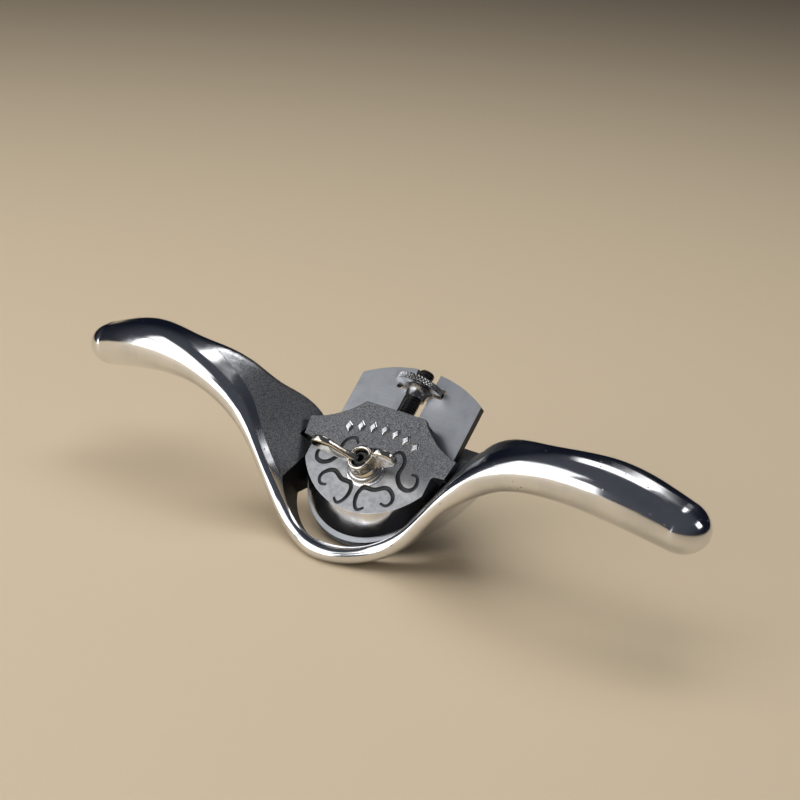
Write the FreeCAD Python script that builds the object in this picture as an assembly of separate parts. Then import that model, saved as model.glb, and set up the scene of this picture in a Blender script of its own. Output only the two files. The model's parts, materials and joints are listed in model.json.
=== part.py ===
import FreeCAD, Part
import math
import os
from FreeCAD import Vector

# Round-soled metal spokeshave. Millimetres, +X to the user's right, +Y to the back, +Z up.
# The origin is the lowest point of the cutting edge, where it meets the blade's front face.
# Parts on the bed are drawn in bed axes (x across, y up the blade, z out of its front face)
# and are then tilted about the X axis to the bed angle.

BED_ANGLE = 45.0
FIT_GAP = 0.05           # radial running clearance of the threads
SEAT_GAP = 0.02          # gap between faces that rest on each other
M6_RADIUS = 3.0

# blade
BLADE_HALF_WIDTH = 27.0
BLADE_THICKNESS = 3.0
EDGE_RADIUS = 27.5
EDGE_BEVEL_ANGLE = 30.0
BLADE_SIDE_TOP = 65.0
BLADE_CROWN = 72.7
SLOT_HALF_WIDTH = 5.0
SLOT_END = 17.0
NOTCH_HALF_WIDTH = 10.3
NOTCH_LOW = 63.1
NOTCH_HIGH = 67.1

# depth adjuster
ADJUSTER_Z = 0.9
ADJUSTER_TOP = 71.6
LUG_LOW = 36.0
LUG_HIGH = 46.0
LUG_HALF_WIDTH = 4.5
LUG_TOP = 4.5
WHEEL_RADIUS = 9.75
WHEEL_RIM_LOW = 63.9
WHEEL_RIM_HIGH = 66.3
WHEEL_HUB_LOW = 59.9
WHEEL_HUB_RADIUS = 4.0
WHEEL_FLARE_RADIUS = 5.8

# cap iron
CAP_TOP = 51.0
CAP_TOP_HALF_WIDTH = 13.3
CAP_WING_HALF_WIDTH = 32.8
CAP_WING_TOP = 39.0
CAP_WING_LOW = 31.6
CAP_NOTCH_HALF_WIDTH = 27.2
CAP_SIDE_HALF_WIDTH = 26.5
CAP_SIDE_TOP = 31.2
CAP_FACE_RADIUS = 32.0
CAP_FACE_CENTRE = 41.0
CAP_FACE_HEIGHT = 7.0    # front face height above the blade at the face's lowest point
CAP_FACE_RISE = 1.0 / 30.0
CAP_PLATE_THICKNESS = 3.2
LIP_RADIUS = 28.0
LIP_CENTRE = 30.0
LIP_HEIGHT = 0.5
CAP_HOLLOW_TOP = 4.6
BOSS_RADIUS = 6.8
BOSS_TOP = 9.2

# cap stud and wing nut
STUD_Y = 27.1
STUD_FOOT = -9.5
STUD_TOP = 14.4
SOCKET_ACROSS_FLATS = 3.0
SOCKET_DEPTH = 3.0
NUT_LOW = BOSS_TOP + SEAT_GAP
NUT_TOP = 15.3
NUT_BASE_RADIUS = 6.0
NUT_TOP_RADIUS = 4.7
WING_THICKNESS = 3.4
WING_TURN = 5.0

# body casting: a band that runs from grip to grip under the blade
BED_HEIGHT = -BLADE_THICKNESS - SEAT_GAP
BED_TOP = 44.0
BED_PLATE_THICKNESS = 7.8
BED_EDGE_RADIUS = 28.3
BED_SHOULDER_HALF_WIDTH = 31.0
BED_SHOULDER_LOW = 17.0
THROAT_RADIUS = 32.5
THROAT_HALF_WIDTH = 28.8
THROAT_LOW = -5.5
THROAT_TOP = 90.0        # past the blade's top
THROAT_DEPTH = 40.0      # past the casting on both sides of the blade
WING_RELIEF_HALF_WIDTH = 33.5
WING_RELIEF_LOW = 30.6
WING_RELIEF_HEIGHT = 3.7

# Half of the band's shape, from the middle outwards; smooth curves run through the rows. A section
# stands square to the band's underside and runs from front to back: x and z of the underside, y and
# radius of the round front edge, y of the rear corners, rear height and radius of the rear corners.
BAND_SHAPE = [
    (0.0, -3.3, -12.2, 3.0, 10.0, 6.0, 2.0),
    (17.2, -0.8, -7.4, 3.0, 12.5, 7.0, 2.0),
    (32.2, 9.9, -2.4, 3.0, 25.0, 11.6, 2.0),
    (43.0, 24.0, -0.6, 3.0, 29.0, 12.0, 2.0),
    (52.3, 31.2, 2.2, 4.7, 20.5, 12.9, 3.9),
    (62.5, 37.3, 2.7, 5.8, 13.2, 14.9, 5.9),
    (76.0, 40.1, 4.6, 7.7, 8.4, 16.2, 7.7),
    (98.0, 38.5, 7.8, 9.4, 10.8, 19.1, 9.4),
    (123.2, 33.2, 11.3, 8.3, 14.0, 16.9, 8.3),
]
SECTIONS_PER_HALF = 22
GRIP_END_REACH = 10.5    # length of a grip's rounded end


def on_bed(shape):
    """Tilts a shape drawn in bed axes into its place on the bed."""
    placed = shape.copy()
    placed.rotate(Vector(0, 0, 0), Vector(1, 0, 0), BED_ANGLE)
    return placed


def box(x_half, y_low, y_high, z_low, z_high):
    """A box that is centred across the tool."""
    return Part.makeBox(2 * x_half, y_high - y_low, z_high - z_low, Vector(-x_half, y_low, z_low))


def mirrored(points):
    """The same points on the left side, in the opposite order."""
    return [Vector(-p.x, p.y, p.z) for p in reversed(points)]


def spline(points):
    curve = Part.BSplineCurve()
    curve.interpolate(points)
    return curve.toShape()


def arc(start, middle, end):
    return Part.Arc(start, middle, end).toShape()


def line(start, end):
    return Part.makeLine(start, end)


def circle_y(radius, centre_y, x):
    """Lower y of a circle about (0, centre_y) at a distance x from the middle."""
    return centre_y - math.sqrt(radius ** 2 - x ** 2)


def edge_prism(radius, lowest, half_width, top, z_low, z_high):
    """A prism with a round lower end and straight sides."""
    centre = lowest + radius
    side = circle_y(radius, centre, half_width)
    left = Vector(-half_width, side, z_low)
    right = Vector(half_width, side, z_low)
    left_top = Vector(-half_width, top, z_low)
    right_top = Vector(half_width, top, z_low)
    outline = Part.Wire([
        arc(left, Vector(0, lowest, z_low), right),
        line(right, right_top),
        line(right_top, left_top),
        line(left_top, left),
    ])
    return Part.Face(outline).extrude(Vector(0, 0, z_high - z_low))


# ---------------------------------------------------------------- blade

def crown_y(x):
    """Height of the blade's curved top edge at a distance x from the middle."""
    rise = BLADE_CROWN - BLADE_SIDE_TOP
    radius = (BLADE_HALF_WIDTH ** 2 + rise ** 2) / (2 * rise)
    return BLADE_CROWN - radius + math.sqrt(radius ** 2 - x ** 2)


def blade_outline():
    side = circle_y(EDGE_RADIUS, EDGE_RADIUS, BLADE_HALF_WIDTH)
    slot_centre = SLOT_END + SLOT_HALF_WIDTH
    half_way = (SLOT_HALF_WIDTH + BLADE_HALF_WIDTH) / 2
    crown = [Vector(x, crown_y(x), 0) for x in (SLOT_HALF_WIDTH, half_way, BLADE_HALF_WIDTH)]
    edge = [
        Vector(BLADE_HALF_WIDTH, side, 0),
        Vector(0, 0, 0),
        Vector(-BLADE_HALF_WIDTH, side, 0),
    ]
    slot = [
        Vector(-SLOT_HALF_WIDTH, slot_centre, 0),
        Vector(0, SLOT_END, 0),
        Vector(SLOT_HALF_WIDTH, slot_centre, 0),
    ]
    left_crown = mirrored(crown)
    return Part.Wire([
        arc(*crown),
        line(crown[2], edge[0]),
        arc(*edge),
        line(edge[2], left_crown[0]),
        arc(*left_crown),
        line(left_crown[2], slot[0]),
        arc(*slot),
        line(slot[2], crown[0]),
    ])


def blade():
    plate = Part.Face(blade_outline()).extrude(Vector(0, 0, -BLADE_THICKNESS))
    notch = box(NOTCH_HALF_WIDTH, NOTCH_LOW, NOTCH_HIGH, -BLADE_THICKNESS - 1, 1)
    plate = plate.cut(notch)
    bevel_run = BLADE_THICKNESS / math.tan(math.radians(EDGE_BEVEL_ANGLE))
    cone = Part.makeCone(EDGE_RADIUS - bevel_run, EDGE_RADIUS, BLADE_THICKNESS,
                         Vector(0, EDGE_RADIUS, -BLADE_THICKNESS), Vector(0, 0, 1))
    bevel_top = circle_y(EDGE_RADIUS, EDGE_RADIUS, BLADE_HALF_WIDTH)
    lower = box(BLADE_HALF_WIDTH + 1, -1, bevel_top, -BLADE_THICKNESS - 1, 1)
    ground = plate.common(lower).common(cone)
    rest = plate.cut(lower)
    return on_bed(rest.fuse(ground).removeSplitter())


# ---------------------------------------------------------------- depth adjuster

def rod_along_blade(radius, low, high):
    return Part.makeCylinder(radius, high - low, Vector(0, low, ADJUSTER_Z), Vector(0, 1, 0))


def adjuster_stud():
    chamfer = 0.7
    rod = rod_along_blade(M6_RADIUS, LUG_LOW + 1, ADJUSTER_TOP - chamfer)
    tip = Part.makeCone(M6_RADIUS, M6_RADIUS - chamfer, chamfer,
                        Vector(0, ADJUSTER_TOP - chamfer, ADJUSTER_Z), Vector(0, 1, 0))
    return on_bed(rod.fuse(tip))


def adjuster_wheel():
    """Knurled nut: a thin rim in the blade's notches over a hub that flares up to it."""
    rim_chamfer = 0.3
    points = [
        Vector(0, WHEEL_HUB_LOW, 0),
        Vector(WHEEL_HUB_RADIUS, WHEEL_HUB_LOW, 0),
        Vector(WHEEL_HUB_RADIUS + 0.5, WHEEL_HUB_LOW + 2.9, 0),
        Vector(WHEEL_FLARE_RADIUS, WHEEL_RIM_LOW, 0),
        Vector(WHEEL_RADIUS - rim_chamfer, WHEEL_RIM_LOW, 0),
        Vector(WHEEL_RADIUS, WHEEL_RIM_LOW + rim_chamfer, 0),
        Vector(WHEEL_RADIUS, WHEEL_RIM_HIGH - rim_chamfer, 0),
        Vector(WHEEL_RADIUS - rim_chamfer, WHEEL_RIM_HIGH, 0),
        Vector(0, WHEEL_RIM_HIGH, 0),
    ]
    flare = spline(points[1:4])
    straight = [line(a, b) for a, b in zip(points[3:], points[4:] + points[:1])]
    outline = Part.Wire([line(points[0], points[1]), flare] + straight)
    solid = Part.Face(outline).revolve(Vector(0, 0, 0), Vector(0, 1, 0), 360)
    solid.translate(Vector(0, 0, ADJUSTER_Z))
    bore = rod_along_blade(M6_RADIUS + FIT_GAP, WHEEL_HUB_LOW - 1, WHEEL_RIM_HIGH + 1)
    return on_bed(solid.cut(bore))


# ---------------------------------------------------------------- cap iron

def on_cap_face(x, y):
    """A point on the cap iron's front face, which rises slightly towards its top."""
    face_low = CAP_FACE_CENTRE - CAP_FACE_RADIUS
    return Vector(x, y, CAP_FACE_HEIGHT + (y - face_low) * CAP_FACE_RISE)


def cap_plate():
    """The flat front plate with its hollow shoulders and two wings."""
    shoulder = [
        on_cap_face(CAP_TOP_HALF_WIDTH, CAP_TOP),
        on_cap_face(16.5, 47.4),
        on_cap_face(21.8, 43.4),
        on_cap_face(27.5, 40.5),
        on_cap_face(CAP_WING_HALF_WIDTH, CAP_WING_TOP),
    ]
    lower_right = [
        shoulder[-1],
        on_cap_face(CAP_WING_HALF_WIDTH - 1.2, CAP_WING_LOW),
        on_cap_face(CAP_NOTCH_HALF_WIDTH, CAP_SIDE_TOP),
        on_cap_face(CAP_SIDE_HALF_WIDTH - 4.5, CAP_SIDE_TOP - 7),
    ]
    left_shoulder = mirrored(shoulder)
    corners = lower_right + mirrored(lower_right)
    edges = [spline(shoulder)]
    edges += [line(a, b) for a, b in zip(corners, corners[1:])]
    edges += [spline(left_shoulder), line(left_shoulder[-1], shoulder[0])]
    return Part.Face(Part.Wire(edges)).extrude(Vector(0, 0, -CAP_PLATE_THICKNESS))


def cap_section(place, radius, centre, half_width):
    """A closed outline with a round lower end. place puts its points at a height."""
    side = circle_y(radius, centre, half_width)
    left = place(-half_width, side)
    right = place(half_width, side)
    left_top = place(-half_width, CAP_SIDE_TOP)
    right_top = place(half_width, CAP_SIDE_TOP)
    return Part.Wire([
        arc(left, place(0, centre - radius), right),
        line(right, right_top),
        line(right_top, left_top),
        line(left_top, left),
    ])


def level(height):
    """Puts points at one height above the blade."""
    return lambda x, y: Vector(x, y, height)


def cap_iron():
    lip_half_width = CAP_SIDE_HALF_WIDTH + 0.4
    nose = Part.makeLoft([
        cap_section(level(SEAT_GAP), LIP_RADIUS, LIP_CENTRE, lip_half_width),
        cap_section(level(LIP_HEIGHT), LIP_RADIUS, LIP_CENTRE, lip_half_width),
        cap_section(on_cap_face, CAP_FACE_RADIUS, CAP_FACE_CENTRE, CAP_SIDE_HALF_WIDTH),
    ], True, True)
    pad = box(CAP_TOP_HALF_WIDTH, 47.0, CAP_TOP - 0.5, SEAT_GAP, CAP_HOLLOW_TOP + 2)
    rod_notch = box(SLOT_HALF_WIDTH, 46.0, CAP_TOP + 1, -1, CAP_HOLLOW_TOP)
    boss = Part.makeCylinder(BOSS_RADIUS, BOSS_TOP - 5, Vector(0, STUD_Y, 5))
    hollow = edge_prism(20.0, 12.0, 19.0, 46.0, -1, CAP_HOLLOW_TOP)
    hole = Part.makeCylinder(M6_RADIUS + 0.4, 20, Vector(0, STUD_Y, -5))
    solid = nose.fuse([cap_plate(), pad.cut(rod_notch), boss]).cut(hollow).cut(hole)
    return on_bed(solid.removeSplitter())


# ---------------------------------------------------------------- cap stud and wing nut

def cap_stud():
    """Grub screw, screwed into the bed, with its hexagon socket at the top."""
    chamfer = 0.6
    rod = Part.makeCylinder(M6_RADIUS, STUD_TOP - STUD_FOOT - chamfer, Vector(0, STUD_Y, STUD_FOOT))
    tip = Part.makeCone(M6_RADIUS, M6_RADIUS - chamfer, chamfer,
                        Vector(0, STUD_Y, STUD_TOP - chamfer))
    corner = SOCKET_ACROSS_FLATS / math.sqrt(3)
    corners = [
        Vector(corner * math.cos(math.radians(60 * i)),
               STUD_Y + corner * math.sin(math.radians(60 * i)), STUD_TOP - SOCKET_DEPTH)
        for i in range(6)
    ]
    socket = Part.Face(Part.makePolygon(corners + corners[:1])).extrude(Vector(0, 0, SOCKET_DEPTH + 1))
    return on_bed(rod.fuse(tip).cut(socket))


def nut_wing():
    """One wing of the nut, standing in the plane of the nut's axis and reaching out along +X."""
    half = WING_THICKNESS / 2

    def point(r, z):
        return Vector(r, -half, z)

    outer = [point(3.2, 10.0), point(9.0, 12.2), point(15.4, 16.4)]
    lobe = [outer[-1], point(17.9, 21.2), point(13.2, 25.6)]
    inner = [lobe[-1], point(8.4, 21.6), point(4.2, 15.0)]
    outline = Part.Wire([spline(outer), arc(*lobe), spline(inner), line(inner[-1], outer[0])])
    return Part.Face(outline).extrude(Vector(0, WING_THICKNESS, 0))


def wing_nut():
    hub = Part.makeCone(NUT_BASE_RADIUS, NUT_TOP_RADIUS, NUT_TOP - NUT_LOW, Vector(0, 0, NUT_LOW))
    right = nut_wing()
    left = nut_wing()
    left.rotate(Vector(0, 0, 0), Vector(0, 0, 1), 180)
    bore = Part.makeCylinder(M6_RADIUS + FIT_GAP, 30, Vector(0, 0, 0))
    nut = hub.fuse([right, left]).cut(bore)
    nut.rotate(Vector(0, 0, 0), Vector(0, 0, 1), WING_TURN)
    nut.translate(Vector(0, STUD_Y, 0))
    return on_bed(nut.removeSplitter())


# ---------------------------------------------------------------- body casting

def natural_cubic(xs, ys):
    """The smooth curve through points. Gives a function for its height and one for its slope."""
    count = len(xs)
    gaps = [after - before for before, after in zip(xs, xs[1:])]
    rises = [(after - before) / gap for before, after, gap in zip(ys, ys[1:], gaps)]
    bends = [0.0] * count
    shares = [0.0] * count
    for i in range(1, count - 1):
        pivot = 2 * (gaps[i - 1] + gaps[i]) - gaps[i - 1] * shares[i - 1]
        shares[i] = gaps[i] / pivot
        bends[i] = (6 * (rises[i] - rises[i - 1]) - gaps[i - 1] * bends[i - 1]) / pivot
    for i in range(count - 2, 0, -1):
        bends[i] -= shares[i] * bends[i + 1]

    def piece_of(x):
        i = max(k for k in range(count - 1) if k == 0 or xs[k] <= x)
        return i, (x - xs[i]) / gaps[i]

    def height(x):
        i, t = piece_of(x)
        bend = ((1 - t) ** 3 - (1 - t)) * bends[i] + (t ** 3 - t) * bends[i + 1]
        return (1 - t) * ys[i] + t * ys[i + 1] + gaps[i] ** 2 / 6 * bend

    def slope(x):
        i, t = piece_of(x)
        bend = (1 - 3 * (1 - t) ** 2) * bends[i] + (3 * t ** 2 - 1) * bends[i + 1]
        return rises[i] + gaps[i] / 6 * bend

    return height, slope


def band_curves():
    """One smooth curve along the whole band for each column of the shape table."""
    left = [(-row[0],) + row[1:] for row in BAND_SHAPE[:0:-1]]
    columns = list(zip(*(left + BAND_SHAPE)))
    return [natural_cubic(columns[0], column) for column in columns[1:]]


def outer_tangent(front, front_radius, rear, rear_radius):
    """Where the line over the top of two circles touches them, in (y, height)."""
    along = rear - front
    length = along.Length
    along.normalize()
    across = Vector(-along.y, along.x, 0)
    lean = (front_radius - rear_radius) / length
    normal = across * math.sqrt(1 - lean ** 2) + along * lean
    return front + normal * front_radius, rear + normal * rear_radius


def band_wire(station, slope, side):
    """The outline of one section: a round front edge and a rear edge with two round corners."""
    x, z, front_y, front_radius, rear_y, rear_height, rear_radius = station
    front = Vector(front_y, front_radius, 0)
    rear_low = Vector(rear_y, rear_radius, 0)
    rear_high = Vector(rear_y, rear_height - rear_radius, 0)
    out = Vector(rear_radius, 0, 0)
    top_front, top_rear = outer_tangent(front, front_radius, rear_high, rear_radius)
    middle_of_corner = (top_rear - rear_high) + out
    middle_of_corner.normalize()
    diagonal = Vector(math.sqrt(0.5), -math.sqrt(0.5), 0) * rear_radius

    def place(p):
        return Vector(side * (x - math.sin(slope) * p.y), p.x, z + math.cos(slope) * p.y)

    low_front = place(Vector(front_y, 0, 0))
    low_rear = place(Vector(rear_y, 0, 0))
    return Part.Wire([
        arc(low_front, place(front - Vector(front_radius, 0, 0)), place(top_front)),
        line(place(top_front), place(top_rear)),
        arc(place(top_rear), place(rear_high + middle_of_corner * rear_radius), place(rear_high + out)),
        line(place(rear_high + out), place(rear_low + out)),
        arc(place(rear_low + out), place(rear_low + diagonal), low_rear),
        line(low_rear, low_front),
    ])


def grip_end_wires(station, slope, side):
    """Sections that round off the end of a grip."""
    end_x, end_z, front_y, front_radius, rear_y, end_height, rear_radius = station
    middle_y = (front_y + rear_y) / 2
    wires = []
    for angle in (15, 30, 45, 58, 70, 80):
        reach = GRIP_END_REACH * math.sin(math.radians(angle))
        shrink = math.cos(math.radians(angle))
        rise = end_height / 2 * (1 - shrink)
        x = end_x + math.cos(slope) * reach - math.sin(slope) * rise
        z = end_z + math.sin(slope) * reach + math.cos(slope) * rise
        half_gap = (rear_y - front_y) / 2 * shrink
        smaller = (x, z, middle_y - half_gap, front_radius * shrink, middle_y + half_gap,
                   end_height * shrink, rear_radius * shrink)
        wires.append(band_wire(smaller, slope, side))
    return wires


def band():
    curves = band_curves()
    end = BAND_SHAPE[-1][0]
    half = {-1: [], 1: []}
    for i in range(SECTIONS_PER_HALF + 1):
        x = end * i / SECTIONS_PER_HALF
        station = [x] + [height(x) for height, _ in curves]
        slope = math.atan(curves[0][1](x))
        for side in half:
            half[side].append(band_wire(station, slope, side))
    for side in half:
        half[side] += grip_end_wires(station, slope, side)
    return Part.makeLoft(half[-1][:0:-1] + half[1], True, False)


def bed_block():
    """The sloping plate behind the blade. It runs back along Y from the bed, so its round lower
    end is the sole's heel, and its shoulders run into the band."""
    low = BED_EDGE_RADIUS - EDGE_RADIUS
    heel = edge_prism(BED_EDGE_RADIUS, -low, BED_EDGE_RADIUS, BED_TOP, BED_HEIGHT - 1, BED_HEIGHT)
    shoulders = box(BED_SHOULDER_HALF_WIDTH, BED_SHOULDER_LOW, BED_TOP, BED_HEIGHT - 1, BED_HEIGHT)
    plate = heel.fuse(shoulders).removeSplitter()
    face = [f for f in plate.Faces if abs(f.CenterOfMass.z - BED_HEIGHT) < 0.001][0]
    run = BED_PLATE_THICKNESS / math.sin(math.radians(BED_ANGLE))
    return on_bed(face).extrude(Vector(0, run, 0))


def lug():
    """Carries the adjuster stud. It stands up through the blade's slot."""
    block = box(LUG_HALF_WIDTH, LUG_LOW, LUG_HIGH, BED_HEIGHT - 3, LUG_TOP)
    return on_bed(block)


def throat():
    """Clears the space for the blade and cap iron, and cuts the mouth through the sole."""
    mouth = edge_prism(THROAT_RADIUS, THROAT_LOW, THROAT_HALF_WIDTH, THROAT_TOP,
                       -THROAT_DEPTH, THROAT_DEPTH)
    relief = box(WING_RELIEF_HALF_WIDTH, WING_RELIEF_LOW, THROAT_TOP, WING_RELIEF_HEIGHT,
                 THROAT_DEPTH)
    return on_bed(mouth.fuse(relief))


def body_casting():
    shell = band().cut(throat())
    solid = shell.fuse([bed_block(), lug()])
    rod_hole = rod_along_blade(M6_RADIUS + SEAT_GAP, LUG_LOW + 1 - SEAT_GAP, LUG_HIGH + 1)
    stud_hole = Part.makeCylinder(M6_RADIUS + SEAT_GAP, 30, Vector(0, STUD_Y, STUD_FOOT - SEAT_GAP))
    return solid.cut(on_bed(rod_hole)).cut(on_bed(stud_hole))


# ---------------------------------------------------------------- writing the parts

PARTS = {
    "body_casting": body_casting,
    "blade": blade,
    "cap_iron": cap_iron,
    "wing_nut": wing_nut,
    "cap_stud": cap_stud,
    "adjuster_wheel": adjuster_wheel,
    "adjuster_stud": adjuster_stud,
}

os.makedirs("parts", exist_ok=True)
for name, make in PARTS.items():
    shape = make()
    print(name, shape.ShapeType, len(shape.Solids), shape.isValid(), round(shape.Volume, 1))
    shape.exportStep("parts/" + name + ".step")
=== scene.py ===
import json
import math

import bmesh
import bpy
from mathutils import Matrix, Vector


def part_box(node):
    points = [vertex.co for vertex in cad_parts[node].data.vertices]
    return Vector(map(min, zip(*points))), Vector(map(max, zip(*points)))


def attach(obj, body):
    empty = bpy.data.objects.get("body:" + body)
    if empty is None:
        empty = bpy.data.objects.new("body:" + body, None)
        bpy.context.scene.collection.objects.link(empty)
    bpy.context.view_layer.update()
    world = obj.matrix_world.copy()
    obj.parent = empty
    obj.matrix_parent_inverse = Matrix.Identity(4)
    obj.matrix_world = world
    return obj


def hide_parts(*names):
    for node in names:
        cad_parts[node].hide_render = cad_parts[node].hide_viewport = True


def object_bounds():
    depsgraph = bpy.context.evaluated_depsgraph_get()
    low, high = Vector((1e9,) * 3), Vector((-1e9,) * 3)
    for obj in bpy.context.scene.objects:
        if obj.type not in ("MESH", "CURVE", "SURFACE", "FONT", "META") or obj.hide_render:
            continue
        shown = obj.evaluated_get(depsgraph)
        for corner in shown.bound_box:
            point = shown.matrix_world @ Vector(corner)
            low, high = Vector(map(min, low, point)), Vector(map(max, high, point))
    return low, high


# Looks of the metal spokeshave. Metres, row frame: +X right, +Y back, +Z up.
# Pieces on the bed are drawn in bed axes (x across, y up the blade, z out of its front face) in
# millimetres, and are then tilted onto the bed, as the joints' axes state it.

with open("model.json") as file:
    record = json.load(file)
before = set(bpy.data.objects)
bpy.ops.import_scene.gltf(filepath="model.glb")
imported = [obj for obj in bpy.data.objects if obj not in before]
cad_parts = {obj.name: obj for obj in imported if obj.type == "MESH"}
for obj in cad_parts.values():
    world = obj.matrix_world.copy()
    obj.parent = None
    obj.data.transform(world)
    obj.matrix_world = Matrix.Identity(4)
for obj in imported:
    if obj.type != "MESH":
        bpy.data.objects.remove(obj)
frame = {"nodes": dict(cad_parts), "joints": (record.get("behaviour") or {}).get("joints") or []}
cad_low, cad_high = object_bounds()

MM = 0.001
joints = {joint["name"]: joint for joint in frame["joints"]}
feed_axis = Vector(joints["blade_feed"]["axis"])
bed_angle = math.atan2(feed_axis.z, feed_axis.y)
TO_ROW = Matrix.Rotation(bed_angle, 4, "X") @ Matrix.Scale(MM, 4)


def in_bed_axes(point):
    """A point of the row frame in bed axes and millimetres."""
    return TO_ROW.inverted() @ Vector(point)


STUD_Y = in_bed_axes(joints["wing_nut_turn"]["pos_m"]).y
ADJUSTER_Z = in_bed_axes(joints["wheel_turn"]["pos_m"]).z
BLADE_HALF_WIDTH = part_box("blade")[1].x / MM
# Puts a shape drawn about its own z axis on the adjuster's axis.
ALONG_ADJUSTER = (TO_ROW @ Matrix.Translation((0, 0, ADJUSTER_Z))
                  @ Matrix.Rotation(-math.pi / 2, 4, "X"))


# ---------------------------------------------------------------- building pieces

def new_piece(name, shape):
    """Links a new object made of a bmesh."""
    mesh = bpy.data.meshes.new(name)
    shape.to_mesh(mesh)
    shape.free()
    obj = bpy.data.objects.new(name, mesh)
    bpy.context.scene.collection.objects.link(obj)
    return obj


def finish_modifiers(obj):
    """Replaces the object's mesh by what its modifiers make of it."""
    graph = bpy.context.evaluated_depsgraph_get()
    made = bpy.data.meshes.new_from_object(obj.evaluated_get(graph))
    obj.modifiers.clear()
    obj.data = made


def combine(obj, other, operation):
    """Boolean of two pieces. The second one is used up."""
    modifier = obj.modifiers.new("combine", "BOOLEAN")
    modifier.operation = operation
    modifier.solver = "EXACT"
    modifier.material_mode = "TRANSFER"
    modifier.object = other
    finish_modifiers(obj)
    bpy.data.objects.remove(other)


def take_place(piece, node, body):
    """Lets a piece move with a body and stand in for a CAD node."""
    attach(piece, body)
    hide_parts(node)


def give(obj, *materials):
    """Sets the object's materials, in slot order."""
    obj.data.materials.clear()
    for material in materials:
        obj.data.materials.append(material)


def shade_smooth(obj, sharp_angle):
    """Smooth shading with sharp edges where faces meet at more than an angle, in degrees."""
    for polygon in obj.data.polygons:
        polygon.use_smooth = True
    obj.data.set_sharp_from_angle(angle=math.radians(sharp_angle))


def flatten_normals(obj):
    """Lets large faces set the shading of the rounded edges beside them."""
    modifier = obj.modifiers.new("flatten", "WEIGHTED_NORMAL")
    modifier.keep_sharp = True
    finish_modifiers(obj)


def round_edges(obj, width, sharp_angle, segments, slot=-1):
    """Rounds edges sharper than an angle. The new faces can have a material slot of their own."""
    modifier = obj.modifiers.new("round", "BEVEL")
    modifier.width = width * MM
    modifier.segments = segments
    modifier.limit_method = "ANGLE"
    modifier.angle_limit = math.radians(sharp_angle)
    modifier.material = slot
    finish_modifiers(obj)


def copy_of_node(name, node):
    """A new piece with a CAD node's shape, its faces joined and its flat faces made whole."""
    shape = bmesh.new()
    shape.from_mesh(frame["nodes"][node].data)
    bmesh.ops.remove_doubles(shape, verts=shape.verts, dist=1e-6)
    bmesh.ops.dissolve_limit(shape, angle_limit=math.radians(0.5), verts=shape.verts,
                             edges=shape.edges)
    return new_piece(name, shape)


def prism(name, outline, low, high, shift=(0, 0)):
    """A prism over an outline of (x, y) points in bed axes; shift moves its lower end."""
    shape = bmesh.new()
    bottom = [shape.verts.new((x + shift[0], y + shift[1], low)) for x, y in outline]
    top = [shape.verts.new((x, y, high)) for x, y in outline]
    shape.faces.new(bottom[::-1])
    shape.faces.new(top)
    for i in range(len(outline)):
        j = (i + 1) % len(outline)
        shape.faces.new((bottom[i], bottom[j], top[j], top[i]))
    shape.transform(TO_ROW)
    return new_piece(name, shape)


def arc_points(centre_x, centre_y, radius, start, end, steps):
    """Points on an arc, angles in degrees."""
    points = []
    for i in range(steps + 1):
        angle = math.radians(start + (end - start) * i / steps)
        points.append((centre_x + radius * math.cos(angle), centre_y + radius * math.sin(angle)))
    return points


def points_between(a, b, steps):
    """Evenly spaced points on a straight line, without its two ends."""
    return [(a[0] + (b[0] - a[0]) * k / steps, a[1] + (b[1] - a[1]) * k / steps)
            for k in range(1, steps)]


def skin(shape, rows, closed=False):
    """Quads between rows of points. Each row is a ring; closed also joins the last row to the first."""
    grid = [[shape.verts.new(point) for point in row] for row in rows]
    pairs = list(zip(grid, grid[1:]))
    if closed:
        pairs.append((grid[-1], grid[0]))
    count = len(grid[0])
    for a, b in pairs:
        for i in range(count):
            j = (i + 1) % count
            shape.faces.new((a[i], a[j], b[j], b[i]))
    return grid


def cap_ring(shape, ring, point, flip):
    """Closes a ring with triangles to one point."""
    tip = shape.verts.new(point)
    for i in range(len(ring)):
        j = (i + 1) % len(ring)
        corners = (tip, ring[j], ring[i]) if flip else (tip, ring[i], ring[j])
        shape.faces.new(corners)


def natural_cubic(xs, ys):
    """The smooth curve through points. Gives a function for its height and one for its slope."""
    count = len(xs)
    gaps = [after - before for before, after in zip(xs, xs[1:])]
    rises = [(after - before) / gap for before, after, gap in zip(ys, ys[1:], gaps)]
    bends = [0.0] * count
    shares = [0.0] * count
    for i in range(1, count - 1):
        pivot = 2 * (gaps[i - 1] + gaps[i]) - gaps[i - 1] * shares[i - 1]
        shares[i] = gaps[i] / pivot
        bends[i] = (6 * (rises[i] - rises[i - 1]) - gaps[i - 1] * bends[i - 1]) / pivot
    for i in range(count - 2, 0, -1):
        bends[i] -= shares[i] * bends[i + 1]

    def piece_of(x):
        i = max(k for k in range(count - 1) if k == 0 or xs[k] <= x)
        return i, (x - xs[i]) / gaps[i]

    def height(x):
        i, t = piece_of(x)
        bend = ((1 - t) ** 3 - (1 - t)) * bends[i] + (t ** 3 - t) * bends[i + 1]
        return (1 - t) * ys[i] + t * ys[i + 1] + gaps[i] ** 2 / 6 * bend

    def slope(x):
        i, t = piece_of(x)
        bend = (1 - 3 * (1 - t) ** 2) * bends[i] + (3 * t ** 2 - 1) * bends[i + 1]
        return rises[i] + gaps[i] / 6 * bend

    return height, slope


def smooth_path(points, steps):
    """Evenly numbered points on the smooth curve through a few points."""
    places = list(range(len(points)))
    curves = [natural_cubic(places, [p[k] for p in points])[0] for k in range(len(points[0]))]
    last = places[-1]
    return [tuple(curve(last * i / steps) for curve in curves) for i in range(steps + 1)]


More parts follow.
